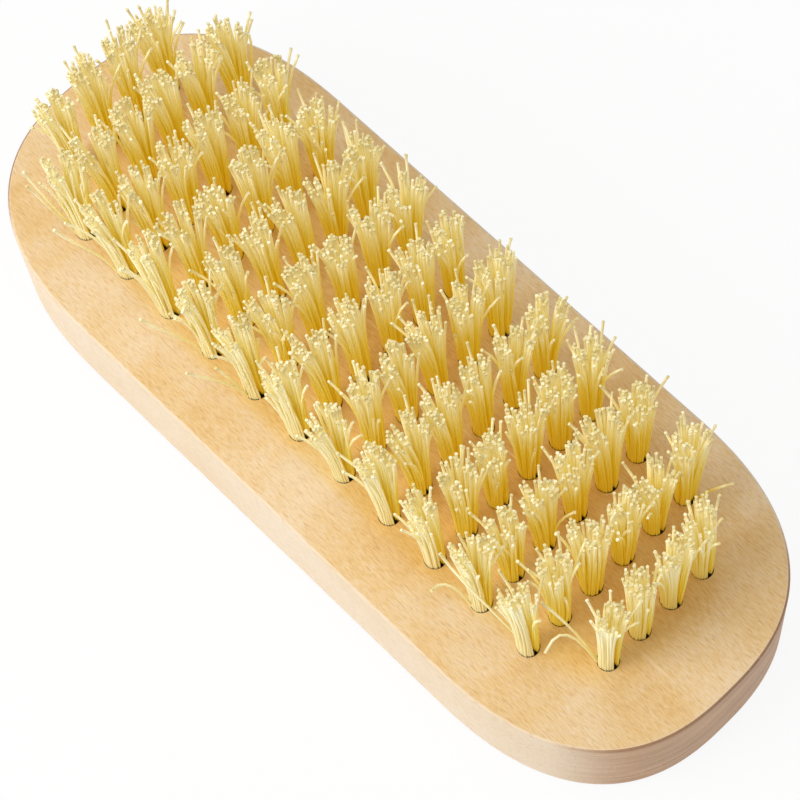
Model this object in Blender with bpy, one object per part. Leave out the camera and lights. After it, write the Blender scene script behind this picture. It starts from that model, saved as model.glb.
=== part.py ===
"""Wooden nail brush with tufts of bristle wedged into drilled holes.

Frame: metres, +Z up, the flat back of the block on Z = 0 with its centre at the origin.
+X runs along the block, +Y across it. The bristles stand up from the top face.
Tufts and anchors are grouped in the lines of holes that run along X, because the flat
anchor in each hole lies that way too.
"""
import math
import random

import bmesh
import bpy
from mathutils import Matrix, Vector

# Wooden block
BLOCK_LENGTH = 0.110
BLOCK_WIDTH = 0.0425
BLOCK_THICKNESS = 0.014
BLOCK_STRAIGHT = 0.058
END_EXPONENT = 2.5
END_STEPS = 13
TOP_EDGE_EASE = 0.0004
TOP_EDGE_STEPS = 2
BACK_EDGE_ROUND = 0.0012
BACK_EDGE_STEPS = 3

# Drilled holes
HOLE_DIAMETER = 0.0026
HOLE_DEPTH = 0.0090
HOLE_SIDES = 8
COLUMN_PITCH = 0.00742
LINE_PITCH = 0.00505
COLUMNS = 13
LINES = 6
PATTERN_ALONG = -0.0016
PATTERN_ACROSS = 0.0005

# Fits and cuts
FIT_GAP = 0.0003
CUT_OVERRUN = 0.0010

# Tufts of bristle, each folded under its anchor
TUFT_SIDES = 6
TUFT_HEIGHT = 0.0162
LOOP_HEIGHT = 0.0012
LENGTH_SPREAD = 0.0009
TIP_SPREAD = 0.0001
BEND_SPREAD = 0.00005
FLARE_SHARE = 2.65
BEND_HEIGHT_SHARE = 0.45
BEND_FLARE_SHARE = 1.50
BEND_THICK_SHARE = 1.15
TIP_THICK_SHARE = 1.45

# Thin slice that joins the roots of one line of tufts
SLICE_THICKNESS = 0.00025
SLICE_HEIGHT = 0.0006
SLICE_LIFT = 0.0002

# Flat wire anchors
ANCHOR_THICKNESS = 0.00025
ANCHOR_HEIGHT = 0.0012
ANCHOR_BITE = 0.0004
SLOT_LIFT = 0.0002

# Worked out from the sizes above
TUFT_DIAMETER = HOLE_DIAMETER - 2 * FIT_GAP
HOLE_FLOOR = BLOCK_THICKNESS - HOLE_DEPTH
ROOT_BOTTOM = HOLE_FLOOR + FIT_GAP
LOOP_TOP = ROOT_BOTTOM + LOOP_HEIGHT
ANCHOR_BOTTOM = LOOP_TOP + FIT_GAP
ANCHOR_TOP = ANCHOR_BOTTOM + ANCHOR_HEIGHT
SLOT_WIDTH = ANCHOR_THICKNESS + 2 * FIT_GAP
SLOT_BOTTOM = HOLE_FLOOR + SLOT_LIFT
SLOT_TOP = ANCHOR_TOP + FIT_GAP
SLICE_BOTTOM = ROOT_BOTTOM + SLICE_LIFT
SEED = 11


def clear_scene():
    """Remove whatever the file held before."""
    for thing in list(bpy.data.objects):
        bpy.data.objects.remove(thing)


def make_collection(name):
    """A collection linked to the scene."""
    group = bpy.data.collections.new(name)
    bpy.context.scene.collection.children.link(group)
    return group


def make_material(name, colour, roughness, metallic):
    """A plain surface with the piece's own colour, roughness and metallic value."""
    material = bpy.data.materials.new(name)
    material.use_nodes = True
    shader = material.node_tree.nodes["Principled BSDF"]
    shader.inputs["Base Color"].default_value = (*colour, 1.0)
    shader.inputs["Roughness"].default_value = roughness
    shader.inputs["Metallic"].default_value = metallic
    return material


def add_object(name, bm, group, material=None):
    """Turn a bmesh into a named object of a collection."""
    mesh = bpy.data.meshes.new(name)
    bm.to_mesh(mesh)
    bm.free()
    thing = bpy.data.objects.new(name, mesh)
    group.objects.link(thing)
    if material is not None:
        mesh.materials.append(material)
    return thing


def hide_as_cutter(thing):
    """Show a cutter or a helper as wire and keep it out of renders."""
    thing.display_type = "WIRE"
    thing.hide_render = True


def add_boolean(thing, other, operation):
    """Cut or join one object with another."""
    modifier = thing.modifiers.new(other.name, "BOOLEAN")
    modifier.operation = operation
    modifier.solver = "EXACT"
    modifier.object = other


def outline_points():
    """The block's outline: one quarter from nose to side, mirrored to the other three."""
    reach = (BLOCK_LENGTH - BLOCK_STRAIGHT) / 2
    power = 2 / END_EXPONENT
    quarter = []
    for step in range(END_STEPS + 1):
        turn = step / END_STEPS * math.pi / 2
        x = BLOCK_STRAIGHT / 2 + reach * math.cos(turn) ** power
        y = BLOCK_WIDTH / 2 * math.sin(turn) ** power
        quarter.append((x, y))
    upper = quarter + [(-x, y) for x, y in reversed(quarter)]
    lower = [(-x, -y) for x, y in upper[1:-1]]
    return upper + lower


def outline_mesh():
    """The outline as a flat filled curve, given its thickness and made a mesh."""
    curve = bpy.data.curves.new("outline", "CURVE")
    curve.dimensions = "2D"
    curve.fill_mode = "BOTH"
    curve.extrude = BLOCK_THICKNESS / 2
    points = outline_points()
    spline = curve.splines.new("POLY")
    spline.points.add(len(points) - 1)
    for point, (x, y) in zip(spline.points, points):
        point.co = (x, y, 0, 1)
    spline.use_cyclic_u = True
    guide = bpy.data.objects.new("outline", curve)
    bpy.context.scene.collection.objects.link(guide)
    depsgraph = bpy.context.evaluated_depsgraph_get()
    mesh = bpy.data.meshes.new_from_object(guide.evaluated_get(depsgraph))
    bpy.data.objects.remove(guide)
    return mesh


def rim_edges(bm, height):
    """The edges that run round the block at one height."""
    rim = []
    for edge in bm.edges:
        level = all(abs(vert.co.z - height) < TOP_EDGE_EASE / 2 for vert in edge.verts)
        if level and edge.calc_face_angle(0) > math.radians(45):
            rim.append(edge)
    return rim


def make_block(group, material):
    """The wooden block, its top edge eased and its back edge rounded."""
    bm = bmesh.new()
    bm.from_mesh(outline_mesh())
    bmesh.ops.remove_doubles(bm, verts=bm.verts, dist=TOP_EDGE_EASE / 10)
    bmesh.ops.dissolve_limit(bm, angle_limit=math.radians(1), verts=bm.verts, edges=bm.edges)
    bmesh.ops.translate(bm, vec=(0, 0, BLOCK_THICKNESS / 2), verts=bm.verts)
    bmesh.ops.recalc_face_normals(bm, faces=bm.faces)
    bmesh.ops.bevel(bm, geom=rim_edges(bm, BLOCK_THICKNESS), affect="EDGES", profile=0.5,
                    offset=TOP_EDGE_EASE, segments=TOP_EDGE_STEPS, material=-1)
    bmesh.ops.bevel(bm, geom=rim_edges(bm, 0), affect="EDGES", profile=0.5,
                    offset=BACK_EDGE_ROUND, segments=BACK_EDGE_STEPS, material=-1)
    block = add_object("block", bm, group, material)
    block.data.shade_smooth()
    block.data.set_sharp_from_angle(angle=math.radians(35))
    return block


def hole_places():
    """Centre of each hole by column and line; the end columns lack their outer holes."""
    places = {}
    for column in range(COLUMNS):
        for line in range(LINES):
            end_column = column in (0, COLUMNS - 1)
            outer_line = line in (0, LINES - 1)
            if end_column and outer_line:
                continue
            x = PATTERN_ALONG + (column - (COLUMNS - 1) / 2) * COLUMN_PITCH
            y = PATTERN_ACROSS + (line - (LINES - 1) / 2) * LINE_PITCH
            places[column, line] = Vector((x, y))
    return places


def hole_lines(places):
    """The holes sorted into the lines that run along the block, each from low X to high X."""
    lines = []
    for line in range(LINES):
        lines.append([places[spot] for spot in sorted(places) if spot[1] == line])
    return lines


def make_hole_cutters(group, places):
    """One drill-shaped cutter for every hole, flats facing along the lines."""
    corner_radius = HOLE_DIAMETER / 2 / math.cos(math.pi / HOLE_SIDES)
    turn = Matrix.Rotation(math.pi / HOLE_SIDES, 4, "Z")
    middle = HOLE_FLOOR + (HOLE_DEPTH + CUT_OVERRUN) / 2
    bm = bmesh.new()
    for place in places.values():
        spot = Matrix.Translation((place.x, place.y, middle))
        bmesh.ops.create_cone(bm, cap_ends=True, segments=HOLE_SIDES, matrix=spot @ turn,
                              radius1=corner_radius, radius2=corner_radius,
                              depth=HOLE_DEPTH + CUT_OVERRUN)
    cutters = add_object("hole_cutters", bm, group)
    hide_as_cutter(cutters)
    return cutters


def add_bar(bm, place, length, width, bottom, top):
    """A straight bar along X, centred at a place on its line."""
    size = Matrix.Diagonal((length, width, top - bottom, 1))
    spot = Matrix.Translation((place, 0, (bottom + top) / 2))
    bmesh.ops.create_cube(bm, size=1, matrix=spot @ size)


def line_run(line):
    """Distance from the first hole of a line to the last."""
    return (len(line) - 1) * COLUMN_PITCH


def put_on_line(thing, line):
    """Place an object at the first hole of a line."""
    thing.location = (line[0].x, line[0].y, 0)


def anchor_length(line):
    """Length of a line's anchor strip: past both end holes by the bite."""
    return line_run(line) + HOLE_DIAMETER + 2 * ANCHOR_BITE


def make_slot_cutters(group, lines):
    """The grooves that the anchors bite into, one along each line of holes."""
    bm = bmesh.new()
    for line in lines:
        middle = (line[0] + line[-1]) / 2
        length = anchor_length(line) + 2 * FIT_GAP
        size = Matrix.Diagonal((length, SLOT_WIDTH, SLOT_TOP - SLOT_BOTTOM, 1))
        spot = Matrix.Translation((middle.x, middle.y, (SLOT_BOTTOM + SLOT_TOP) / 2))
        bmesh.ops.create_cube(bm, size=1, matrix=spot @ size)
    cutters = add_object("slot_cutters", bm, group)
    hide_as_cutter(cutters)
    return cutters


def facing_up(bm):
    """The faces that look up."""
    return [face for face in bm.faces if face.normal.z > 0.5]


def raise_faces(bm, faces, height):
    """Extrude each face by itself and lift its corners to one height."""
    raised = bmesh.ops.extrude_discrete_faces(bm, faces=faces)["faces"]
    for face in raised:
        for vert in face.verts:
            vert.co.z = height
    return raised


def slit_distance(edge):
    """How far an edge lies from the slit between the legs."""
    return sum(abs(vert.co.y) for vert in edge.verts)


def split_leg(leg):
    """Divide the top of one leg into the feet of its three strands."""
    inner = min(leg.edges, key=slit_distance)
    corners = list(max(leg.edges, key=slit_distance).verts)
    middle = bmesh.utils.edge_split(inner, inner.verts[0], 0.5)[1]
    for corner in corners:
        whole = next(face for face in middle.link_faces
                     if face.normal.z > 0.5 and corner in face.verts[:])
        bmesh.utils.face_split(whole, middle, corner)
    return [face for face in middle.link_faces if face.normal.z > 0.5]


def stretch_strands(bm, feet, height, flare, thick, spread, lift):
    """Extrude each foot into a strand piece that leans out and changes in thickness."""
    raised = bmesh.ops.extrude_discrete_faces(bm, faces=feet)["faces"]
    for face in raised:
        centre = face.calc_center_median()
        target = Vector((centre.x * flare, centre.y * flare, height))
        target += Vector((spread(), spread(), lift()))
        for vert in face.verts:
            vert.co = target + (vert.co - centre) * thick
    return raised


def make_tuft(chance):
    """One folded tuft on its own axis: a loop, two legs and the strands above the wood."""
    bm = bmesh.new()
    radius = TUFT_DIAMETER / 2
    middle = Matrix.Translation((0, 0, ROOT_BOTTOM + LOOP_HEIGHT / 2))
    bmesh.ops.create_cone(bm, cap_ends=True, segments=TUFT_SIDES, matrix=middle,
                          radius1=radius, radius2=radius, depth=LOOP_HEIGHT)
    for side in (1, -1):
        top = min(facing_up(bm), key=lambda face: face.calc_center_median().y)
        bmesh.ops.bisect_plane(bm, geom=[top, *top.edges, *top.verts],
                               plane_co=(0, side * SLOT_WIDTH / 2, 0), plane_no=(0, side, 0))
    legs = [face for face in facing_up(bm) if abs(face.calc_center_median().y) > SLOT_WIDTH / 4]
    legs = raise_faces(bm, legs, BLOCK_THICKNESS)
    bm.normal_update()
    feet = []
    for leg in legs:
        feet += split_leg(leg)
    bend = BLOCK_THICKNESS + TUFT_HEIGHT * BEND_HEIGHT_SHARE
    tip = BLOCK_THICKNESS + TUFT_HEIGHT
    bends = stretch_strands(bm, feet, bend, BEND_FLARE_SHARE, BEND_THICK_SHARE,
                            lambda: chance.uniform(-BEND_SPREAD, BEND_SPREAD), lambda: 0)
    stretch_strands(bm, bends, tip, FLARE_SHARE / BEND_FLARE_SHARE, TIP_THICK_SHARE,
                    lambda: chance.uniform(-TIP_SPREAD, TIP_SPREAD),
                    lambda: chance.uniform(-LENGTH_SPREAD, LENGTH_SPREAD))
    return bm


def make_tuft_line(name, line, group, helpers, material, chance):
    """The tufts of one line, joined at their roots by a thin slice."""
    bm = bmesh.new()
    for count in range(len(line)):
        tuft = make_tuft(chance)
        bmesh.ops.translate(tuft, vec=(count * COLUMN_PITCH, 0, 0), verts=tuft.verts)
        mesh = bpy.data.meshes.new("tuft")
        tuft.to_mesh(mesh)
        tuft.free()
        bm.from_mesh(mesh)
        bpy.data.meshes.remove(mesh)
    tufts = add_object(name, bm, group, material)
    put_on_line(tufts, line)
    run = line_run(line)
    slice_bm = bmesh.new()
    add_bar(slice_bm, run / 2, run, SLICE_THICKNESS, SLICE_BOTTOM, SLICE_BOTTOM + SLICE_HEIGHT)
    root_slice = add_object(name + "_slice", slice_bm, helpers)
    put_on_line(root_slice, line)
    hide_as_cutter(root_slice)
    add_boolean(tufts, root_slice, "UNION")
    return tufts


def make_anchor_line(name, line, group, material):
    """The flat wire anchors of one line, as one strip through its holes."""
    bm = bmesh.new()
    add_bar(bm, line_run(line) / 2, anchor_length(line), ANCHOR_THICKNESS, ANCHOR_BOTTOM, ANCHOR_TOP)
    anchor = add_object(name, bm, group, material)
    put_on_line(anchor, line)
    return anchor


def main():
    """Build the brush."""
    clear_scene()
    brush = make_collection("nail_brush")
    cutters = make_collection("cutters")
    wood = make_material("pale_wood", (0.80, 0.56, 0.33), 0.55, 0.0)
    bristle = make_material("cream_bristle", (0.86, 0.74, 0.38), 0.45, 0.0)
    wire = make_material("anchor_wire", (0.60, 0.60, 0.58), 0.35, 1.0)
    places = hole_places()
    lines = hole_lines(places)
    frame = bpy.data.objects.new("nail_brush", None)
    brush.objects.link(frame)
    block = make_block(brush, wood)
    block.parent = frame
    add_boolean(block, make_hole_cutters(cutters, places), "DIFFERENCE")
    add_boolean(block, make_slot_cutters(cutters, lines), "DIFFERENCE")
    chance = random.Random(SEED)
    for number, line in enumerate(lines, 1):
        tufts = make_tuft_line(f"tuft_line_{number}", line, brush, cutters, bristle, chance)
        tufts.parent = frame
        anchor = make_anchor_line(f"anchor_line_{number}", line, brush, wire)
        anchor.parent = frame
    print("holes", len(places), "lines", len(lines))


main()
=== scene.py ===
# %% [markdown]
# # A wooden nail brush
# The brush has three kinds of piece: a block of pale wood, tufts of bristle that stand in drilled
# holes, and small wire anchors that wedge each tuft at the bottom of its hole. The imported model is
# loaded first as a fixed frame. Each finer piece made here stands exactly where the frame's piece is.

# %% Load the frame
import math
import random

import bmesh
import bpy
from mathutils import Matrix, Quaternion, Vector


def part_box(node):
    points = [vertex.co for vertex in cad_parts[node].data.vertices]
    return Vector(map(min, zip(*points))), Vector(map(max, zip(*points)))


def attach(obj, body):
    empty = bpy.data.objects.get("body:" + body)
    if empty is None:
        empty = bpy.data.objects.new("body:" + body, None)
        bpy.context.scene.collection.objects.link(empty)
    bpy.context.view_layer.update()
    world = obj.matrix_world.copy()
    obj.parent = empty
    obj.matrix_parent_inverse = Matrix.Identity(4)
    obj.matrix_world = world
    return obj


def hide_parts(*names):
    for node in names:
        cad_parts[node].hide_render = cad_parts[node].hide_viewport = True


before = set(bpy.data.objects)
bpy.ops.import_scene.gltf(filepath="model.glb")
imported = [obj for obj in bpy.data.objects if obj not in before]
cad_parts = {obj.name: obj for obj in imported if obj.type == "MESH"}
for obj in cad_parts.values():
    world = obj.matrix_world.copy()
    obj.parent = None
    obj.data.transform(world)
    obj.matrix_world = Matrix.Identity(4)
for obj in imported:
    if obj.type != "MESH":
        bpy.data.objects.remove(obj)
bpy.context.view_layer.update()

# %% [markdown]
# ## The camera
# A camera is a place, a direction and a lens. It could be aimed by hand, but a product photo is easier
# to match when the camera is aimed at a named point from a named distance, and only then rolled.
# The long lens keeps the far end of the brush almost as large as the near end.

# %% Camera
CAMERA_AIM = Vector((0.0039, -0.0013, 0.0140))
CAMERA_AZIMUTH = math.radians(-37.20)
CAMERA_ELEVATION = math.radians(66.55)
CAMERA_DISTANCE = 0.3286
CAMERA_ROLL = math.radians(-7.75)
CAMERA_LENS = 127.7


def aim_camera(aim, azimuth, elevation, distance, roll, lens):
    """Make the camera and look at a point from a direction."""
    level = math.cos(elevation)
    back = Vector((math.cos(azimuth) * level, math.sin(azimuth) * level, math.sin(elevation)))
    camera = bpy.data.objects.new("camera", bpy.data.cameras.new("camera"))
    camera.data.lens = lens
    camera.data.clip_start = distance / 100
    camera.data.clip_end = distance * 100
    camera.rotation_mode = "QUATERNION"
    camera.location = aim + back * distance
    level_view = (-back).to_track_quat("-Z", "Y")
    camera.rotation_quaternion = level_view @ Quaternion((0, 0, 1), roll)
    bpy.context.scene.collection.objects.link(camera)
    bpy.context.scene.camera = camera
    return camera


camera = aim_camera(CAMERA_AIM, CAMERA_AZIMUTH, CAMERA_ELEVATION, CAMERA_DISTANCE, CAMERA_ROLL, CAMERA_LENS)
print("camera at", tuple(round(n, 3) for n in camera.location))

# %% [markdown]
# ## A small language for materials
# Node trees are quick to draw by hand and slow to read in code. Here a socket is wrapped in a class
# that knows plus, minus and times, so that a sum of sockets reads like any other sum and adds its own
# Math nodes. One more method makes every other kind of node: first its settings, then its inputs.
# The short methods after it are only there because wood and bristle both call for the same few nodes.

# %% Sockets that can be used in sums
class Value:
    """An output socket that can be used in sums."""

    def __init__(self, paint, socket):
        self.paint = paint
        self.socket = socket

    def sum(self, operation, first, second):
        return self.paint.node("ShaderNodeMath", {"operation": operation}, {0: first, 1: second})

    def __add__(self, other):
        return self.sum("ADD", self, other)

    def __radd__(self, other):
        return self.sum("ADD", other, self)

    def __sub__(self, other):
        return self.sum("SUBTRACT", self, other)

    def __rsub__(self, other):
        return self.sum("SUBTRACT", other, self)

    def __mul__(self, other):
        return self.sum("MULTIPLY", self, other)

    def __rmul__(self, other):
        return self.sum("MULTIPLY", other, self)


class Paint:
    """A material under construction."""

    def __init__(self, name):
        self.material = bpy.data.materials.new(name)
        self.material.use_nodes = True
        self.tree = self.material.node_tree
        self.shader = self.tree.nodes["Principled BSDF"]

    def node(self, kind, settings=None, inputs=None, output=0):
        """Make a node, apply its settings, fill or link its inputs and return one output."""
        node = self.tree.nodes.new(kind)
        for name, setting in (settings or {}).items():
            if name == "stops":
                self.set_stops(node.color_ramp, setting)
            else:
                setattr(node, name, setting)
        for name, value in (inputs or {}).items():
            self.fill(node.inputs[name], value)
        return Value(self, node.outputs[output])

    def fill(self, socket, value):
        """Link a socket to a value made by other nodes, or write a number or colour in it."""
        if isinstance(value, Value):
            self.tree.links.new(value.socket, socket)
        else:
            socket.default_value = value

    def set_stops(self, ramp, stops):
        """Give a colour ramp its stops, as pairs of place and colour."""
        while len(ramp.elements) < len(stops):
            ramp.elements.new(1)
        for element, (place, colour) in zip(ramp.elements, stops):
            element.position = place
            element.color = (*colour, 1)

    def surface(self, **inputs):
        """Fill the shader's own sockets, named with underscores for spaces."""
        for name, value in inputs.items():
            self.fill(self.shader.inputs[name.replace("_", " ")], value)
        return self.material

    def place(self, scale):
        """The point on the piece in millimetres, stretched by a scale for each axis."""
        coordinates = self.node("ShaderNodeTexCoord", output="Object")
        per_metre = [1000 * each for each in scale]
        return self.node("ShaderNodeMapping", inputs={"Vector": coordinates, "Scale": per_metre})

    def noise(self, scale, detail=2, roughness=0.5):
        """Noise between 0 and 1 whose features are stretched by a scale for each axis."""
        return self.node("ShaderNodeTexNoise", {"noise_dimensions": "3D"},
                         {"Vector": self.place(scale), "Scale": 1, "Detail": detail, "Roughness": roughness})

    def step(self, value, low, high):
        """Zero at low, one at high and a smooth rise between, or a fall where low is the larger."""
        return self.node("ShaderNodeMapRange", {"interpolation_type": "SMOOTHSTEP"},
                         {"Value": value, "From Min": low, "From Max": high})

    def mix(self, factor, first, second, blend="MIX"):
        """Mix two colours."""
        settings = {"data_type": "RGBA", "blend_type": blend}
        return self.node("ShaderNodeMix", settings, {0: factor, 6: first, 7: second}, output=2)

    def bump(self, height, distance, strength):
        """A normal tilted by a height, whose full range is a distance in metres."""
        inputs = {"Height": height, "Distance": distance, "Strength": strength}
        return self.node("ShaderNodeBump", None, inputs)

    def axes(self, point):
        """The X, Y and Z of a point, as three values."""
        parts = self.node("ShaderNodeSeparateXYZ", None, {0: point})
        return [Value(self, socket) for socket in parts.socket.node.outputs]

    def stored(self, name):
        """A number that the mesh stores at each of its vertices."""
        return self.node("ShaderNodeAttribute", {"attribute_name": name}, output=2)

    def ramp(self, value, stops):
        """A colour from a ramp of stops."""
        return self.node("ShaderNodeValToRGB", {"stops": stops}, {0: value})


print("material helpers ready")

# %% [markdown]
# ## The wood
# Pale hardwood such as birch or beech has no bold rings. What the eye reads is fine fibre that runs
# along the block, short darker flecks, and slow changes of tone. A picture of wood could be wrapped
# round the block, but it would smear at the round ends. Solid noise, stretched along X, is cut by
# every face as real wood is. Three more things are laid over it, each with its own mask: the long
# sides are painted paler, as painted light; the ends are browner and layered, partly end grain and
# partly painted shade; and the wood between the tufts is painted warmer, because the light that
# reaches it has passed through the bristles.

# %% Wood colours
WOOD_PALE = (0.775, 0.620, 0.435)
WOOD_MID = (0.725, 0.505, 0.245)
WOOD_DEEP = (0.640, 0.370, 0.110)
# Painted light: a pale colour mixed over the long sides, as if they were brightly lit.
PAINTED_SIDE_LIGHT = (0.860, 0.740, 0.590)
# The ends are end grain, browner and layered, and darkened further as painted shade.
END_GRAIN_AND_SHADE_DEEP = (0.480, 0.265, 0.145)
END_GRAIN_AND_SHADE_PALE = (0.650, 0.400, 0.245)
EDGE_BROWN = (0.300, 0.150, 0.070)
TUFT_LIGHT = (1.0, 0.91, 0.46)
SCRATCH_PALE = (0.900, 0.720, 0.500)
# Painted shade inside the holes, with some scorch from drilling.
BORE_SCORCH_AND_SHADE = (0.020, 0.009, 0.004)
CLOUD_SHARE = 0.42
FIGURE_SHARE = 0.16
FIBRE_SHARE = 0.42
PAINTED_SIDE_LIGHT_SHARE = 0.6
END_GRAIN_AND_SHADE_SHARE = 0.8
TUFT_LIGHT_SHARE = 0.65
FLECK_SHARE = 0.30
SCRATCH_SHARE = 0.35
print("wood from", WOOD_DEEP, "to", WOOD_PALE)

# %% Wood patterns, in features per millimetre along X, Y and Z
CLOUD_SCALE = (0.06, 0.11, 0.11)
FIGURE_SCALE = (0.28, 0.07, 0.07)
FIBRE_SCALE = (0.95, 6.5, 6.5)
FLECK_SCALE = (0.9, 4.8, 4.8)
LAYER_SCALE = (0.08, 0.08, 1.3)
SCRATCH_SCALE = (0.05, 1.9, 1.9)
TUFT_FIELD_SCALE = (1 / 48, 1 / 15, 1)
DEEP_TONE = 0.34
MID_TONE = 0.48
PALE_TONE = 0.62
LAYER_RISE = (0.36, 0.64)
FLECK_RISE = (0.50, 0.72)
SCRATCH_RISE = (0.72, 0.78)
TUFT_FIELD_FALL = (1.05, 0.60)
NOSE_RISE = (0.80, 0.96)
EDGE_RISE = (13.5, 13.8)
EDGE_ON_SIDES = 0.10
EDGE_ON_ENDS = 0.70
FIBRE_RELIEF = 0.00003
RELIEF_STRENGTH = 0.6
FLECK_DEPTH = 0.4
WOOD_ROUGHNESS = 0.62
FIBRE_POLISH = 0.12
WOOD_IOR = 1.45
grain_length, grain_width = 1 / FIBRE_SCALE[0], 1 / FIBRE_SCALE[1]
print("grain lines about", round(grain_width, 2), "mm wide and", round(grain_length, 1), "mm long")


# %% Wood material
def wood_material():
    """Bare sanded hardwood with its grain along X."""
    paint = Paint("sanded_wood")
    cloud = paint.noise(CLOUD_SCALE, detail=3)
    figure = paint.noise(FIGURE_SCALE, detail=2)
    fibre = paint.noise(FIBRE_SCALE, detail=3, roughness=0.6)
    flecks = paint.step(paint.noise(FLECK_SCALE, detail=2), *FLECK_RISE)
    tone = CLOUD_SHARE * cloud + FIGURE_SHARE * figure + FIBRE_SHARE * fibre
    stops = [(DEEP_TONE, WOOD_DEEP), (MID_TONE, WOOD_MID), (PALE_TONE, WOOD_PALE)]
    base = paint.ramp(tone, stops)

    along, across, height = paint.axes(paint.place(TUFT_FIELD_SCALE))
    along = along * along
    across = across * across
    between = paint.step(along * along + across * across, *TUFT_FIELD_FALL)
    warmed = paint.mix(between * TUFT_LIGHT_SHARE, base, (*TUFT_LIGHT, 1), "MULTIPLY")

    side = paint.stored("side")
    end = paint.step(paint.stored("nose"), *NOSE_RISE)
    # Painted light: the long sides are mixed towards a pale colour, as if brightly lit.
    painted_flank_light = paint.mix(PAINTED_SIDE_LIGHT_SHARE, base, (*PAINTED_SIDE_LIGHT, 1))
    # End grain, browner and layered, with painted shade over the ends.
    layer = paint.step(paint.noise(LAYER_SCALE, detail=3), *LAYER_RISE)
    layered = paint.mix(layer, (*END_GRAIN_AND_SHADE_DEEP, 1), (*END_GRAIN_AND_SHADE_PALE, 1))
    end_grain_and_shade = paint.mix(END_GRAIN_AND_SHADE_SHARE, base, layered)
    sided = paint.mix(side, warmed, paint.mix(end, painted_flank_light, end_grain_and_shade))

    edge = paint.step(height, *EDGE_RISE) * side * (EDGE_ON_SIDES + EDGE_ON_ENDS * end)
    edged = paint.mix(edge, sided, (*EDGE_BROWN, 1))
    flecked = paint.mix(flecks * FLECK_SHARE, edged, (*WOOD_DEEP, 1), "MULTIPLY")
    scratch = paint.step(paint.noise(SCRATCH_SCALE, detail=1), *SCRATCH_RISE)
    scratched = paint.mix(scratch * SCRATCH_SHARE, flecked, (*SCRATCH_PALE, 1))
    # The walls and floor of each hole are painted near black: painted shade, with some scorch from drilling.
    colour = paint.mix(paint.stored("bore"), scratched, (*BORE_SCORCH_AND_SHADE, 1))
    relief = paint.bump(fibre - FLECK_DEPTH * flecks, FIBRE_RELIEF, RELIEF_STRENGTH)
    return paint.surface(Base_Color=colour, Roughness=WOOD_ROUGHNESS - FIBRE_POLISH * fibre,
                         Normal=relief, IOR=WOOD_IOR)


wood = wood_material()
print("wood nodes", len(wood.node_tree.nodes))

# %% [markdown]
# ## Where the holes are
# The tufts stand in a grid of holes, and each anchor lies along the line of its hole, parallel to the
# long sides. The frame already holds one anchor strip for each line of holes, so its box gives the
# middle of the line, and its length gives the number of holes.

# %% Holes from the frame
COLUMN_PITCH = 0.00742
LINES = sorted(name[-1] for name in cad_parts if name.startswith("anchor_line_"))


def line_holes(line):
    """The centres of one line's holes, from low X to high X."""
    low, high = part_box("anchor_line_" + line)
    middle = (low + high) / 2
    count = math.ceil((high - low).x / COLUMN_PITCH)
    start = middle.x - COLUMN_PITCH * (count - 1) / 2
    return [Vector((start + COLUMN_PITCH * number, middle.y, 0)) for number in range(count)]


HOLES = {line: line_holes(line) for line in LINES}
print("lines", len(HOLES), "holes", sum(len(holes) for holes in HOLES.values()))

# %% [markdown]
# ## The block
# The block could be a rounded box with holes cut by Booleans. That leaves long thin triangles and a
# rim that can't be eased. Here the mesh is grown outwards instead: one drilled hole is modelled and
# copied, an outline ring is laid round all of them, and the top face is filled between the rings.
# The sides are then drawn down from the outline ring by ring, so both edges get their own rounding.

# %% Block outline
BLOCK_LOW, BLOCK_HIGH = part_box("block")
BLOCK_TOP = BLOCK_HIGH.z
HALF_LENGTH = BLOCK_HIGH.x
HALF_WIDTH = BLOCK_HIGH.y
HALF_STRAIGHT = 0.029
END_EXPONENT = 2.5
OUTLINE_STEPS = 192


def outline_point(turn):
    """A point of the outline: an oval whose two halves are drawn apart by the straight sides."""
    power = 2 / END_EXPONENT
    along = abs(math.cos(turn)) ** power * (HALF_LENGTH - HALF_STRAIGHT) + HALF_STRAIGHT
    across = abs(math.sin(turn)) ** power * HALF_WIDTH
    return Vector((math.copysign(along, math.cos(turn)), math.copysign(across, math.sin(turn)), 0))


def outline_inset(turn, inset):
    """The outline moved inwards, square to itself."""
    step = math.pi / OUTLINE_STEPS
    ahead = outline_point(turn + step) - outline_point(turn - step)
    inward = Vector((-ahead.y, ahead.x, 0)).normalized()
    return outline_point(turn) + inward * inset


print("outline", HALF_LENGTH * 2, "by", HALF_WIDTH * 2, "m, top at", BLOCK_TOP)

# %% Growing a ring
def extrude_ring(bm, edges):
    """Extrude a closed ring of edges. Returns the new ring's vertices and edges."""
    grown = bmesh.ops.extrude_edge_only(bm, edges=edges)["geom"]
    ring = [item for item in grown if isinstance(item, bmesh.types.BMVert)]
    edges = [item for item in grown if isinstance(item, bmesh.types.BMEdge)]
    edges = [edge for edge in edges if edge.verts[0] in ring and edge.verts[1] in ring]
    return ring, edges


def new_piece(name, bm, material):
    """Turn a bmesh into a smooth-shaded object with a material."""
    for face in bm.faces:
        face.smooth = True
    mesh = bpy.data.meshes.new(name)
    bm.to_mesh(mesh)
    bm.free()
    mesh.materials.append(material)
    piece = bpy.data.objects.new(name, mesh)
    bpy.context.scene.collection.objects.link(piece)
    return piece


def dress(piece, slot, *nodes):
    """Say what a piece moves with and which nodes it stands for. The slot argument is not used."""
    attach(piece, "root")
    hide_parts(*nodes)
    return piece


print("mesh helpers ready")

# %% One drilled hole
HOLE_RADIUS = 0.0013
HOLE_DEPTH = 0.0090
HOLE_STEPS = 24
RIM_EASE = 0.00005


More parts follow.
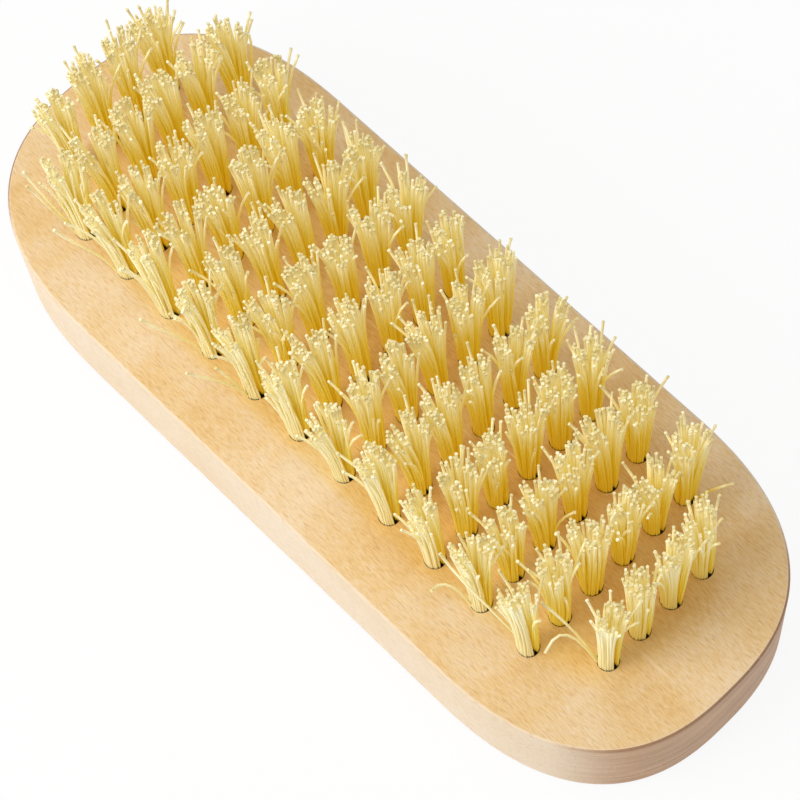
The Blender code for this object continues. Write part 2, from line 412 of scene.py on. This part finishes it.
def drilled_hole():
    """One hole, open at the top: an eased rim, a straight wall and a flat floor."""
    bm = bmesh.new()
    bore_of = bm.verts.layers.float.new("bore")
    bmesh.ops.create_circle(bm, segments=HOLE_STEPS, radius=HOLE_RADIUS + RIM_EASE)
    edges = bm.edges[:]
    for depth in (RIM_EASE, HOLE_DEPTH):
        ring, edges = extrude_ring(bm, edges)
        for vert in ring:
            direction = Vector((vert.co.x, vert.co.y, 0)).normalized()
            vert.co = direction * HOLE_RADIUS - Vector((0, 0, depth))
            vert[bore_of] = 1
    bmesh.ops.contextual_create(bm, geom=edges)
    mesh = bpy.data.meshes.new("drilled_hole")
    bm.to_mesh(mesh)
    bm.free()
    return mesh


hole = drilled_hole()
print("faces in one hole", len(hole.polygons))

# %% Block mesh
TOP_EASE = 0.0004
TOP_EASE_STEPS = 4
BACK_ROUND = 0.0012
BACK_ROUND_STEPS = 6


def edge_profile():
    """Insets and heights down the side, from the top's edge to the back's."""
    profile = []
    for step in range(1, TOP_EASE_STEPS + 1):
        turn = step / TOP_EASE_STEPS * math.pi / 2
        profile.append((TOP_EASE * (1 - math.sin(turn)), BLOCK_TOP - TOP_EASE * (1 - math.cos(turn))))
    for step in range(BACK_ROUND_STEPS + 1):
        turn = step / BACK_ROUND_STEPS * math.pi / 2
        profile.append((BACK_ROUND * (1 - math.cos(turn)), BACK_ROUND * (1 - math.sin(turn))))
    return profile


def drill_pattern(bm):
    """Copy the hole to every place of the pattern and return all rim edges."""
    for holes in HOLES.values():
        for place in holes:
            before = len(bm.verts)
            bm.from_mesh(hole)
            bm.verts.ensure_lookup_table()
            bmesh.ops.translate(bm, vec=(place.x, place.y, BLOCK_TOP), verts=bm.verts[before:])
    return [edge for edge in bm.edges if edge.is_boundary]


def lay_on_outline(ring, turn_of, inset, height):
    """Lay a ring of vertices on the outline at an inset and a height."""
    for vert in ring:
        vert.co = outline_inset(vert[turn_of], inset)
        vert.co.z = height


def make_block():
    """The drilled block."""
    bm = bmesh.new()
    bm.verts.layers.float.new("bore")
    side_of = bm.verts.layers.float.new("side")
    nose_of = bm.verts.layers.float.new("nose")
    turn_of = bm.verts.layers.float.new("turn")
    rims = drill_pattern(bm)
    ring = bmesh.ops.create_circle(bm, segments=OUTLINE_STEPS, radius=1)["verts"]
    for number, vert in enumerate(ring):
        vert[turn_of] = 2 * math.pi * (number + 0.5) / OUTLINE_STEPS
    lay_on_outline(ring, turn_of, TOP_EASE, BLOCK_TOP)
    edges = [edge for edge in bm.edges if edge.is_wire]
    bmesh.ops.triangle_fill(bm, use_beauty=True, normal=(0, 0, 1), edges=rims + edges)
    for edge in rims + edges:
        edge.smooth = False
    for inset, height in edge_profile():
        ring, edges = extrude_ring(bm, edges)
        lay_on_outline(ring, turn_of, inset, height)
        for vert in ring:
            vert[side_of] = 1
            vert[nose_of] = abs(vert.co.x) / HALF_LENGTH
    for edge in edges:
        edge.smooth = False
    bmesh.ops.contextual_create(bm, geom=edges)
    bmesh.ops.recalc_face_normals(bm, faces=bm.faces)
    return new_piece("drilled_block", bm, wood)


block = dress(make_block(), "pale_wood", "block")
print("block faces", len(block.data.polygons))

# %% [markdown]
# ## The anchors
# Each anchor is a short piece of flat wire, driven down on the fold of its tuft until its two ends
# bite into the wood. Hardly any of it shows, deep in the slit of each tuft, so it stays simple: a cube
# stretched to the wire's size, its edges eased, and one copy in every hole.

# %% Anchors
ANCHOR_BITE = 0.0004
ANCHOR_THICKNESS = 0.00025
ANCHOR_EASE = 0.00005
ANCHOR_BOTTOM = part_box("anchor_line_1")[0].z
ANCHOR_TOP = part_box("anchor_line_1")[1].z
WIRE_DARK = (0.46, 0.46, 0.45)
WIRE_PALE = (0.66, 0.66, 0.64)
WIRE_STREAK_SCALE = (0.8, 0.8, 14)
WIRE_ROUGHNESS = 0.28
WIRE_STREAK_ROUGHNESS = 0.2


def wire_material():
    """Drawn steel wire with fine streaks."""
    paint = Paint("steel_wire")
    streak = paint.noise(WIRE_STREAK_SCALE, detail=2)
    colour = paint.mix(streak, (*WIRE_DARK, 1), (*WIRE_PALE, 1))
    roughness = WIRE_ROUGHNESS + WIRE_STREAK_ROUGHNESS * streak
    return paint.surface(Base_Color=colour, Metallic=1.0, Roughness=roughness)


wire = wire_material()


def make_anchors(line):
    """The anchors of one line, one in each hole."""
    bm = bmesh.new()
    length = 2 * (HOLE_RADIUS + ANCHOR_BITE)
    size = Matrix.Diagonal((length, ANCHOR_THICKNESS, ANCHOR_TOP - ANCHOR_BOTTOM, 1))
    for place in HOLES[line]:
        spot = Matrix.Translation((place.x, place.y, (ANCHOR_BOTTOM + ANCHOR_TOP) / 2))
        bmesh.ops.create_cube(bm, size=1, matrix=spot @ size)
    bmesh.ops.bevel(bm, geom=bm.edges[:], affect="EDGES", offset=ANCHOR_EASE, segments=2,
                    profile=0.5, material=-1)
    return new_piece("anchors_" + line, bm, wire)


for line in LINES:
    dress(make_anchors(line), "anchor_wire", "anchor_line_" + line)
print("anchors made", sum(len(holes) for holes in HOLES.values()))

# %% [markdown]
# ## The bristle finish
# The fibres are cream and translucent. Light that wanders through many of them comes out golden, so
# the tufts are deep yellow low down and pale at the cut tips. Tracing that light through thousands of
# fibres is slow and noisy, so it is painted instead: the base colour is golden at the root, and a
# faint golden glow stands for the light that is scattered inside the tuft. Each fibre carries three
# numbers in its mesh: how far along it a point lies, its own small change of tone, and how openly it
# faces the main light, where direct light hides the gold.

# %% Bristle colours
BRISTLE_ROOT = (0.880, 0.720, 0.060)
BRISTLE_LOW = (0.890, 0.755, 0.110)
BRISTLE_MID = (0.900, 0.810, 0.350)
BRISTLE_TIP = (0.915, 0.850, 0.620)
# Painted shade: the flat cut caps face the lamps, so they are painted darker than the fibre's sides.
CAP_PAINTED_SHADE = (0.690, 0.585, 0.315)
# Painted light: a paler copy of the fibre colour for ends that face the key lamp openly.
PAINTED_LIT_ROOT = (0.880, 0.840, 0.500)
PAINTED_LIT_TIP = (0.920, 0.870, 0.660)
# Painted shade for the fibre down inside its hole.
FOOT_PAINTED_SHADE = (0.080, 0.045, 0.010)
GLOW_FOOT = (0.0, 0.0, 0.0)
GLOW_ROOT = (0.105, 0.054, 0.0)
GLOW_MID = (0.112, 0.072, 0.0)
GLOW_TIP = (0.165, 0.143, 0.070)
GLOW_CAP = (0.080, 0.066, 0.018)
COLOUR_STOPS = [
    (0.0, BRISTLE_ROOT),
    (0.30, BRISTLE_LOW),
    (0.62, BRISTLE_MID),
    (0.92, BRISTLE_TIP),
    (1.0, CAP_PAINTED_SHADE),
]
GLOW_STOPS = [
    (0.01, GLOW_FOOT),
    (0.05, GLOW_ROOT),
    (0.5, GLOW_MID),
    (0.96, GLOW_TIP),
    (1.0, GLOW_CAP),
]
TONE_SHIFT = 0.16
FOOT_RISE = (-0.005, 0.030)
CAP_FALL = (1.0, 0.96)
STREAK_SCALE = (5, 5, 0.8)
STREAK_SHARE = 0.25
STREAK_RELIEF = 0.00001
STREAK_STRENGTH = 0.5
BRISTLE_ROUGHNESS = 0.40
TIP_ROUGHNESS = 0.2
BRISTLE_IOR = 1.5
BRISTLE_SPECULAR = 0.2
print("bristle from", BRISTLE_ROOT, "to", BRISTLE_TIP)


# %% Bristle material
def bristle_material():
    """Cream fibre, golden towards the root and pale at the cut tip."""
    paint = Paint("bristle_fibre")
    along = paint.stored("along")
    shifted = along + TONE_SHIFT * paint.stored("tone") - TONE_SHIFT / 2
    golden = paint.ramp(shifted, COLOUR_STOPS)
    # Painted light: fibres that face the key lamp openly are mixed towards a pale colour.
    lit = paint.mix(along, (*PAINTED_LIT_ROOT, 1), (*PAINTED_LIT_TIP, 1))
    base = paint.mix(paint.stored("open") * paint.step(along, *CAP_FALL), golden, lit)
    streak = paint.noise(STREAK_SCALE, detail=2)
    streaked = paint.mix(STREAK_SHARE * streak, base, (*BRISTLE_MID, 1))
    # Painted shade: below the mouth of the hole the fibre is painted near black.
    colour = paint.mix(paint.step(along, *FOOT_RISE), (*FOOT_PAINTED_SHADE, 1), streaked)
    glow = paint.ramp(along, GLOW_STOPS)
    relief = paint.bump(streak, STREAK_RELIEF, STREAK_STRENGTH)
    roughness = BRISTLE_ROUGHNESS + TIP_ROUGHNESS * along * along
    return paint.surface(Base_Color=colour, Roughness=roughness, Normal=relief, IOR=BRISTLE_IOR,
                         Specular_IOR_Level=BRISTLE_SPECULAR, Emission_Color=glow, Emission_Strength=1.0)


bristle = bristle_material()
print("bristle nodes", len(bristle.node_tree.nodes))

# %% [markdown]
# ## One fibre
# Each fibre is folded in two under its anchor, so one fibre makes two of the ends that show. A hair
# system could comb thousands of them, but it gives no solid mesh. Here a straight fibre is modelled
# once by extruding a small circle ring by ring, and each copy is bent along its own path.

# %% Straight fibre
FIBRE_RADIUS = 0.000162
FIBRE_SIDES = 5
LOOP_TURNS = (80,)
REACH_SHARES = (0.0, 0.22, 0.43, 0.63, 0.82, 0.972, 1.0)
RINGS_PER_LEG = len(LOOP_TURNS) + len(REACH_SHARES)
RINGS = 2 * RINGS_PER_LEG + 1


def straight_fibre():
    """A straight fibre whose rings stand one unit apart, closed at both ends."""
    bm = bmesh.new()
    bmesh.ops.create_circle(bm, cap_ends=True, segments=FIBRE_SIDES, radius=1)
    top = bm.faces[:]
    cut_edges = bm.edges[:]
    for ring in range(1, RINGS):
        grown = bmesh.ops.extrude_face_region(bm, geom=top)["geom"]
        bmesh.ops.translate(bm, vec=(0, 0, 1), verts=[v for v in grown if isinstance(v, bmesh.types.BMVert)])
        if ring > 1:
            bmesh.ops.delete(bm, geom=top, context="FACES_ONLY")
        top = [item for item in grown if isinstance(item, bmesh.types.BMFace)]
    for edge in cut_edges + list(top[0].edges):
        edge.smooth = False
    bmesh.ops.recalc_face_normals(bm, faces=bm.faces)
    bm.verts.layers.float.new("along")
    bm.verts.layers.float.new("tone")
    bm.verts.layers.float.new("open")
    mesh = bpy.data.meshes.new("straight_fibre")
    bm.to_mesh(mesh)
    bm.free()
    return mesh


fibre = straight_fibre()
print("faces in one fibre", len(fibre.polygons))

# %% [markdown]
# ## Bending a fibre
# A path is a list of points from one tip, down one leg, round the loop under the anchor and up the
# other leg. A ring of the straight fibre is set square to the path at each point. The turn is measured
# against the line of holes, which no part of a fibre ever runs along, so the tube can't twist.
# Cutting crushes the end of each fibre into a small uneven head, so the last ring is wider.

# %% Fibre path
MOUTH_DROP = 0.0004
EVEN_LEAN_SHARE = 0.30
HEAD_RAGGED = (0.4, 1.5)


def leg_points(mouth, tip, kick, bow):
    """One leg of a fibre from its mouth to its tip: it leans with its tuft, and a kick bends it away."""
    points = []
    for share in REACH_SHARES:
        lean = EVEN_LEAN_SHARE * share + (1 - EVEN_LEAN_SHARE) * share * share
        side = (tip - mouth) * lean + kick * (share ** 3 - lean) + bow * math.sin(math.pi * share)
        points.append(mouth + Vector((side.x, side.y, (tip.z - mouth.z) * share)))
    return points


def loop_points(foot):
    """Half of the loop under the anchor, from just past its lowest point to the leg."""
    points = []
    for degrees in LOOP_TURNS:
        turn = math.radians(degrees)
        depth = ANCHOR_BOTTOM - abs(foot.y) * math.cos(turn)
        points.append(Vector((foot.x, foot.y * math.sin(turn), depth)))
    return points


def ring_turn(ahead):
    """The rotation that sets a ring square to the path."""
    forward = ahead.normalized()
    across = forward.cross(Vector((1, 0, 0))).normalized()
    side = across.cross(forward)
    return Matrix((side, across, forward)).transposed()


def bend_fibre(verts, layers, path, heads, tone, openness, chance):
    """Move a straight fibre's rings onto a path and widen its ends into uneven heads."""
    along_of, tone_of, open_of = layers
    places = []
    for number, point in enumerate(path):
        before = path[max(number - 1, 0)]
        after = path[min(number + 1, len(path) - 1)]
        places.append((point, ring_turn(after - before)))
    for vert in verts:
        number = round(vert.co.z)
        station = abs(number - RINGS_PER_LEG) - len(LOOP_TURNS) - 1
        share = REACH_SHARES[station] if station >= 0 else 0
        widen = 0
        if station == len(REACH_SHARES) - 1:
            widen = heads[number > RINGS_PER_LEG] * chance.uniform(*HEAD_RAGGED)
        point, turn = places[number]
        vert.co = point + turn @ Vector((vert.co.x, vert.co.y, 0)) * FIBRE_RADIUS * (1 + widen)
        vert[along_of] = share
        vert[tone_of] = tone
        vert[open_of] = openness * (number > RINGS_PER_LEG)


print("rings in one fibre", RINGS)

# %% [markdown]
# ## Where each fibre starts and ends
# The feet of the fibres are packed side by side in the two half-moons that the anchor leaves open. At
# the mouth the halves almost close again, which leaves the dark notch at the end of each anchor. The
# ends could be placed at random, but real fibres stick together, so each end is drawn towards the
# nearest of a few clumps and pushed outwards a little. A few strays lean out much further.

# %% Feet and tips
FOOT_PITCH = 0.00025
ARC_PITCH = 0.93 * FOOT_PITCH
FOOT_JITTER = 0.00002
FOOT_LIMIT = HOLE_RADIUS - FIBRE_RADIUS - 0.00001
SLIT_DEEP = ANCHOR_THICKNESS / 2 + FIBRE_RADIUS
SLIT_MOUTH = 0.00018
NOTCH_TURN = math.radians(8)
TIP_HEIGHT = 0.0162
LENGTH_WANDER = 0.00038
SPLAY_RANGE = (1.80, 2.25)
CLUMPS = 3
CLUMP_PULL = 0.38
LEG_WANDER = 0.00022
TIP_WANDER = 0.00014
STRAY_CHANCE = 0.13
STRAY_TURN = 0.5
STRAY_REACH = (0.0004, 0.0024)
STRAY_LENGTH = 0.0007
SHORT_CHANCE = 0.05
SHORT_RANGE = (0.62, 0.92)
BOW_WANDER = 0.00010
HEAD_RANGE = (0.0, 0.42)
TIP_LIMIT = min(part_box("tuft_line_" + line)[1].z for line in LINES)


def wander(chance):
    """A random step on the plane."""
    return Vector((chance.gauss(0, 1), chance.gauss(0, 1)))


def leg_feet(chance):
    """Places in one half-moon, on arcs that follow the wall of the hole."""
    feet = []
    radius = FOOT_LIMIT
    while radius >= SLIT_DEEP:
        start = math.asin(SLIT_DEEP / radius)
        first = min(start + NOTCH_TURN, math.pi / 2)
        last = math.pi - start
        gaps = round(radius * (last - first) / FOOT_PITCH)
        for number in range(gaps + 1):
            turn = first + (last - first) * number / max(gaps, 1)
            foot = Vector((math.cos(turn), math.sin(turn))) * radius
            feet.append(foot + wander(chance) * FOOT_JITTER)
        radius -= ARC_PITCH
    return feet


def at_mouth(foot):
    """Where a leg passes the mouth of the hole, closer to the slit than it is lower down."""
    closing = max(FOOT_LIMIT - abs(foot.y), 0) / (FOOT_LIMIT - SLIT_DEEP)
    across = abs(foot.y) - closing * (SLIT_DEEP - SLIT_MOUTH)
    return Vector((foot.x, math.copysign(across, foot.y)))


def fibre_tip(mouth, clumps, splay, lean, chance):
    """Where one end of a fibre stops, and how far it was kicked out of the bunch."""
    nearest = min(clumps, key=lambda clump: (clump - mouth).length)
    reach = mouth.lerp(nearest, CLUMP_PULL) * splay + lean + wander(chance) * TIP_WANDER
    length = TIP_HEIGHT + chance.gauss(0, 1) * LENGTH_WANDER
    kick = Vector((0, 0))
    if chance.random() < STRAY_CHANCE:
        away = (mouth.normalized() + STRAY_TURN * wander(chance)).normalized()
        kick = away * chance.uniform(*STRAY_REACH)
        length += chance.uniform(0, 1) * STRAY_LENGTH
    if chance.random() < SHORT_CHANCE:
        length *= chance.uniform(*SHORT_RANGE)
    reach += kick
    drop = reach.length_squared / (2 * length)
    height = min(BLOCK_TOP + length - drop, TIP_LIMIT - FIBRE_RADIUS)
    return Vector((reach.x, reach.y, height)), kick.to_3d()


print("fibres in one tuft", len(leg_feet(random.Random(0))))

# %% [markdown]
# ## The tufts
# The tufts of this brush aren't all upright. Use has pushed them over a little towards one corner,
# most along one long side and least at the near end, so each tuft takes its lean from its place before
# chance adds its own. A dozen wild ends stand far out of their tufts, too far for chance to put them
# in the right place, so each follows a curve of its own. The chance is seeded, so the brush comes out
# the same each time.

# %% Leans and wild ends
LEAN_TO = Vector((-0.70, -0.71))
LEAN_BASE = 0.00050
LEAN_PER_Y = -0.030
LEAN_WANDER = 0.00024
NEAR_END = 0.040
NEAR_END_LEAN = 0.4
NEAR_END_OPEN = 0.5
WILD_NEAR = 0.001
WILD_SHARES = (0, 0.25, 0.45, 0.60, 0.73, 0.86, 1.0)
# Each row, in millimetres: the hole, then three handles of a curve that starts at its mouth.
WILD_ENDS = [
    ((35.5, -12.1), (1.6, -0.7, 5.3), (-6.5, -2.3, 10.7), (-9.3, -2.6, 15.8)),
    ((28.1, -12.1), (1.3, -1.2, 5.9), (-2.7, -0.9, 8.7), (-1.7, -4.1, 10.1)),
    ((42.9, -7.1), (-1.4, -0.7, 4.1), (-4.3, -1.4, 11.0), (-2.7, -5.6, 9.7)),
    ((42.9, -7.1), (-2.4, -0.6, 5.2), (-3.5, -1.9, 10.3), (-5.5, -3.2, 15.0)),
    ((35.5, 13.1), (0.8, 0.5, 2.9), (3.1, 0.4, 9.2), (4.7, 0.5, 12.6)),
    ((-16.4, -12.1), (-0.2, -1.1, 5.2), (-1.0, -4.1, 10.6), (-1.9, -5.6, 14.8)),
    ((-9.0, -12.1), (-0.2, -0.9, 5.3), (-1.0, -4.3, 10.6), (-1.3, -6.2, 14.7)),
    ((-9.0, -12.1), (-0.8, -0.9, 4.2), (-0.5, -2.0, 9.2), (-0.5, -3.0, 12.6)),
    ((-31.3, -12.1), (-1.5, -0.5, 5.1), (-1.4, -3.7, 10.5), (-2.4, -5.0, 15.5)),
    ((-38.7, -12.1), (-0.5, -0.8, 5.4), (-1.2, -2.3, 11.5), (-2.3, -2.9, 16.6)),
    ((-38.7, -12.1), (-0.6, -1.1, 5.2), (-0.4, -2.5, 11.1), (-1.4, -3.5, 15.6)),
    ((-38.7, 13.1), (0.7, 0.9, 7.4), (0.7, 3.0, 17.7), (0.7, 0.2, 16.0)),
]


def tuft_lean(place, chance):
    """How far the tips of a tuft are pushed over, in the brush's own axes."""
    push = max(LEAN_BASE + LEAN_PER_Y * place.y, 0)
    if place.x > NEAR_END:
        push *= NEAR_END_LEAN
    return LEAN_TO * push + wander(chance) * LEAN_WANDER


def wild_curves(place):
    """The handles of the wild ends of one tuft, from the mouth of its hole."""
    curves = []
    for spot, *handles in WILD_ENDS:
        if (place.xy - Vector(spot) / 1000).length < WILD_NEAR:
            curves.append([Vector(handle) / 1000 for handle in handles])
    return curves


def curve_points(start, handles):
    """Points along a Bezier curve from a start through its handles."""
    points = []
    for share in WILD_SHARES:
        run = [start] + [start + handle for handle in handles]
        while len(run) > 1:
            run = [first.lerp(second, share) for first, second in zip(run, run[1:])]
        points.append(run[0])
    return points


print("wild ends", len(WILD_ENDS))

# %% Tufts
def openness_of(place):
    """1 where no tuft stands before this one on the key light's side, a share at the near end, else 0."""
    others = [other - place for holes in HOLES.values() for other in holes]
    if not any(abs(away.x) < HOLE_RADIUS and away.y < -HOLE_RADIUS for away in others):
        return 1
    return NEAR_END_OPEN if place.x > NEAR_END else 0


def choose_wild(place, feet, ends):
    """Give each wild curve of a tuft the end whose foot lies furthest along the curve's way out."""
    wild = {}
    for handles in wild_curves(place):
        out = handles[-1].xy
        free = [end for end in ends if end not in wild]
        reach = {}
        for number, side in free:
            reach[number, side] = Vector((feet[number].x, feet[number].y * side)) @ out
        wild[max(free, key=reach.get)] = handles
    return wild


def make_tuft(bm, layers, place, chance):
    """Add one tuft to a line's mesh."""
    first = len(bm.verts)
    openness = openness_of(place)
    lean = tuft_lean(place, chance)
    splay = chance.uniform(*SPLAY_RANGE)
    leans = {side: lean + wander(chance) * LEG_WANDER for side in (1, -1)}
    feet = leg_feet(chance)
    clumps = {side: [at_mouth(Vector((foot.x, foot.y * side))) for foot in chance.sample(feet, CLUMPS)]
              for side in (1, -1)}
    ends = [(number, side) for number in range(len(feet)) for side in (1, -1)]
    wild = choose_wild(place, feet, ends)
    for number, foot in enumerate(feet):
        path = [Vector((foot.x, 0, ANCHOR_BOTTOM - foot.y))]
        for side in (1, -1):
            leg_foot = Vector((foot.x, foot.y * side))
            mouth = at_mouth(leg_foot)
            tip, kick = fibre_tip(mouth, clumps[side], splay, leans[side], chance)
            bow = (wander(chance) * BOW_WANDER).to_3d()
            start = Vector((mouth.x, mouth.y, BLOCK_TOP - MOUTH_DROP))
            leg = leg_points(start, tip, kick, bow)
            if (number, side) in wild:
                leg = curve_points(start, wild[number, side])
            path = list(reversed(path)) + loop_points(leg_foot) + leg
        heads = (chance.uniform(*HEAD_RANGE), chance.uniform(*HEAD_RANGE))
        before = len(bm.verts)
        bm.from_mesh(fibre)
        bm.verts.ensure_lookup_table()
        bend_fibre(bm.verts[before:], layers, path, heads, chance.random(), openness, chance)
    bmesh.ops.translate(bm, vec=place, verts=bm.verts[first:])


def make_tuft_line(line):
    """All the tufts of one line."""
    chance = random.Random(int(line))
    bm = bmesh.new()
    layers = [bm.verts.layers.float.new(name) for name in ("along", "tone", "open")]
    for place in HOLES[line]:
        make_tuft(bm, layers, place, chance)
    return new_piece("bristle_tufts_" + line, bm, bristle)


faces = 0
for line in LINES:
    tufts = dress(make_tuft_line(line), "cream_bristle", "tuft_line_" + line)
    faces += len(tufts.data.polygons)
print("bristle faces", faces)

# %% [markdown]
# ## Floor and light
# A product photo of this kind is lit by a large soft light from one side, a weaker one overhead and
# the white walls of the room. The walls needn't be built: a world of even light does the same. The
# floor is white to the camera and still takes a faint shadow. The world is white where the camera sees
# it, directly or in a reflection, and greyer where it lights the brush.

# %% Floor
FLOOR_SIZE = 3.0
FLOOR_GREY = 0.84
FLOOR_ROUGHNESS = 0.9
FLOOR_GLOW_SHARE = 0.90


def floor_material():
    """Pale paper that is mostly glow to the camera, so that it looks white and keeps a faint shadow."""
    paint = Paint("white_paper")
    paint.surface(Base_Color=(FLOOR_GREY, FLOOR_GREY, FLOOR_GREY, 1), Roughness=FLOOR_ROUGHNESS)
    glow = paint.node("ShaderNodeEmission", None, {"Color": (1, 1, 1, 1), "Strength": 1})
    seen = paint.node("ShaderNodeLightPath", output="Is Camera Ray")
    mirrored = paint.node("ShaderNodeLightPath", output="Is Glossy Ray")
    through = paint.node("ShaderNodeLightPath", output="Is Transmission Ray")
    white = Value(paint, paint.shader.outputs[0])
    share = (seen + mirrored + through) * FLOOR_GLOW_SHARE
    blend = paint.node("ShaderNodeMixShader", None, {0: share, 1: white, 2: glow})
    paint.tree.links.new(blend.socket, paint.tree.nodes["Material Output"].inputs["Surface"])
    return paint.material


def make_floor():
    """A plain floor under the brush."""
    bm = bmesh.new()
    bmesh.ops.create_grid(bm, x_segments=1, y_segments=1, size=FLOOR_SIZE / 2)
    bmesh.ops.translate(bm, vec=(0, 0, BLOCK_LOW.z), verts=bm.verts)
    floor = new_piece("floor", bm, floor_material())


make_floor()
print("floor", FLOOR_SIZE, "m wide at height", round(BLOCK_LOW.z, 4))

# %% Lamps and world
KEY_PLACE = Vector((-0.14, -0.38, 0.34))
KEY_SIZE = 0.30
KEY_POWER = 1.75
SKY_PLACE = Vector((0.0, 0.0, 0.70))
SKY_SIZE = 0.50
SKY_POWER = 1.55
WORLD_LIGHT = 0.42


def add_lamp(name, place, size, power):
    """A square soft light that faces the brush."""
    lamp = bpy.data.lights.new(name, "AREA")
    lamp.size = size
    lamp.energy = power
    thing = bpy.data.objects.new(name, lamp)
    thing.location = place
    thing.rotation_mode = "QUATERNION"
    thing.rotation_quaternion = (-place).to_track_quat("-Z", "Y")
    bpy.context.scene.collection.objects.link(thing)


def white_world():
    """A world that is white to the camera and in reflections, and softer as a light."""
    world = bpy.data.worlds.new("white_room")
    bpy.context.scene.world = world
    world.use_nodes = True
    tree = world.node_tree
    path = tree.nodes.new("ShaderNodeLightPath")
    level = None
    for ray in ("Is Camera Ray", "Is Glossy Ray", "Is Transmission Ray"):
        more = tree.nodes.new("ShaderNodeMath")
        more.operation = "MAXIMUM"
        tree.links.new(path.outputs[ray], more.inputs[0])
        if level:
            tree.links.new(level, more.inputs[1])
        else:
            more.inputs[1].default_value = WORLD_LIGHT
        level = more.outputs[0]
    background = tree.nodes["Background"]
    background.inputs["Color"].default_value = (1, 1, 1, 1)
    tree.links.new(level, background.inputs["Strength"])


add_lamp("key_light", KEY_PLACE, KEY_SIZE, KEY_POWER)
add_lamp("sky_light", SKY_PLACE, SKY_SIZE, SKY_POWER)
white_world()
bpy.context.scene.view_settings.view_transform = "Standard"
print("lamps", KEY_POWER, "and", SKY_POWER, "watts, world", WORLD_LIGHT)

# %% [markdown]
# ## Last update
# The finer pieces must fill the same space as the frame's pieces.

# %% Update the view layer
bpy.context.view_layer.update()
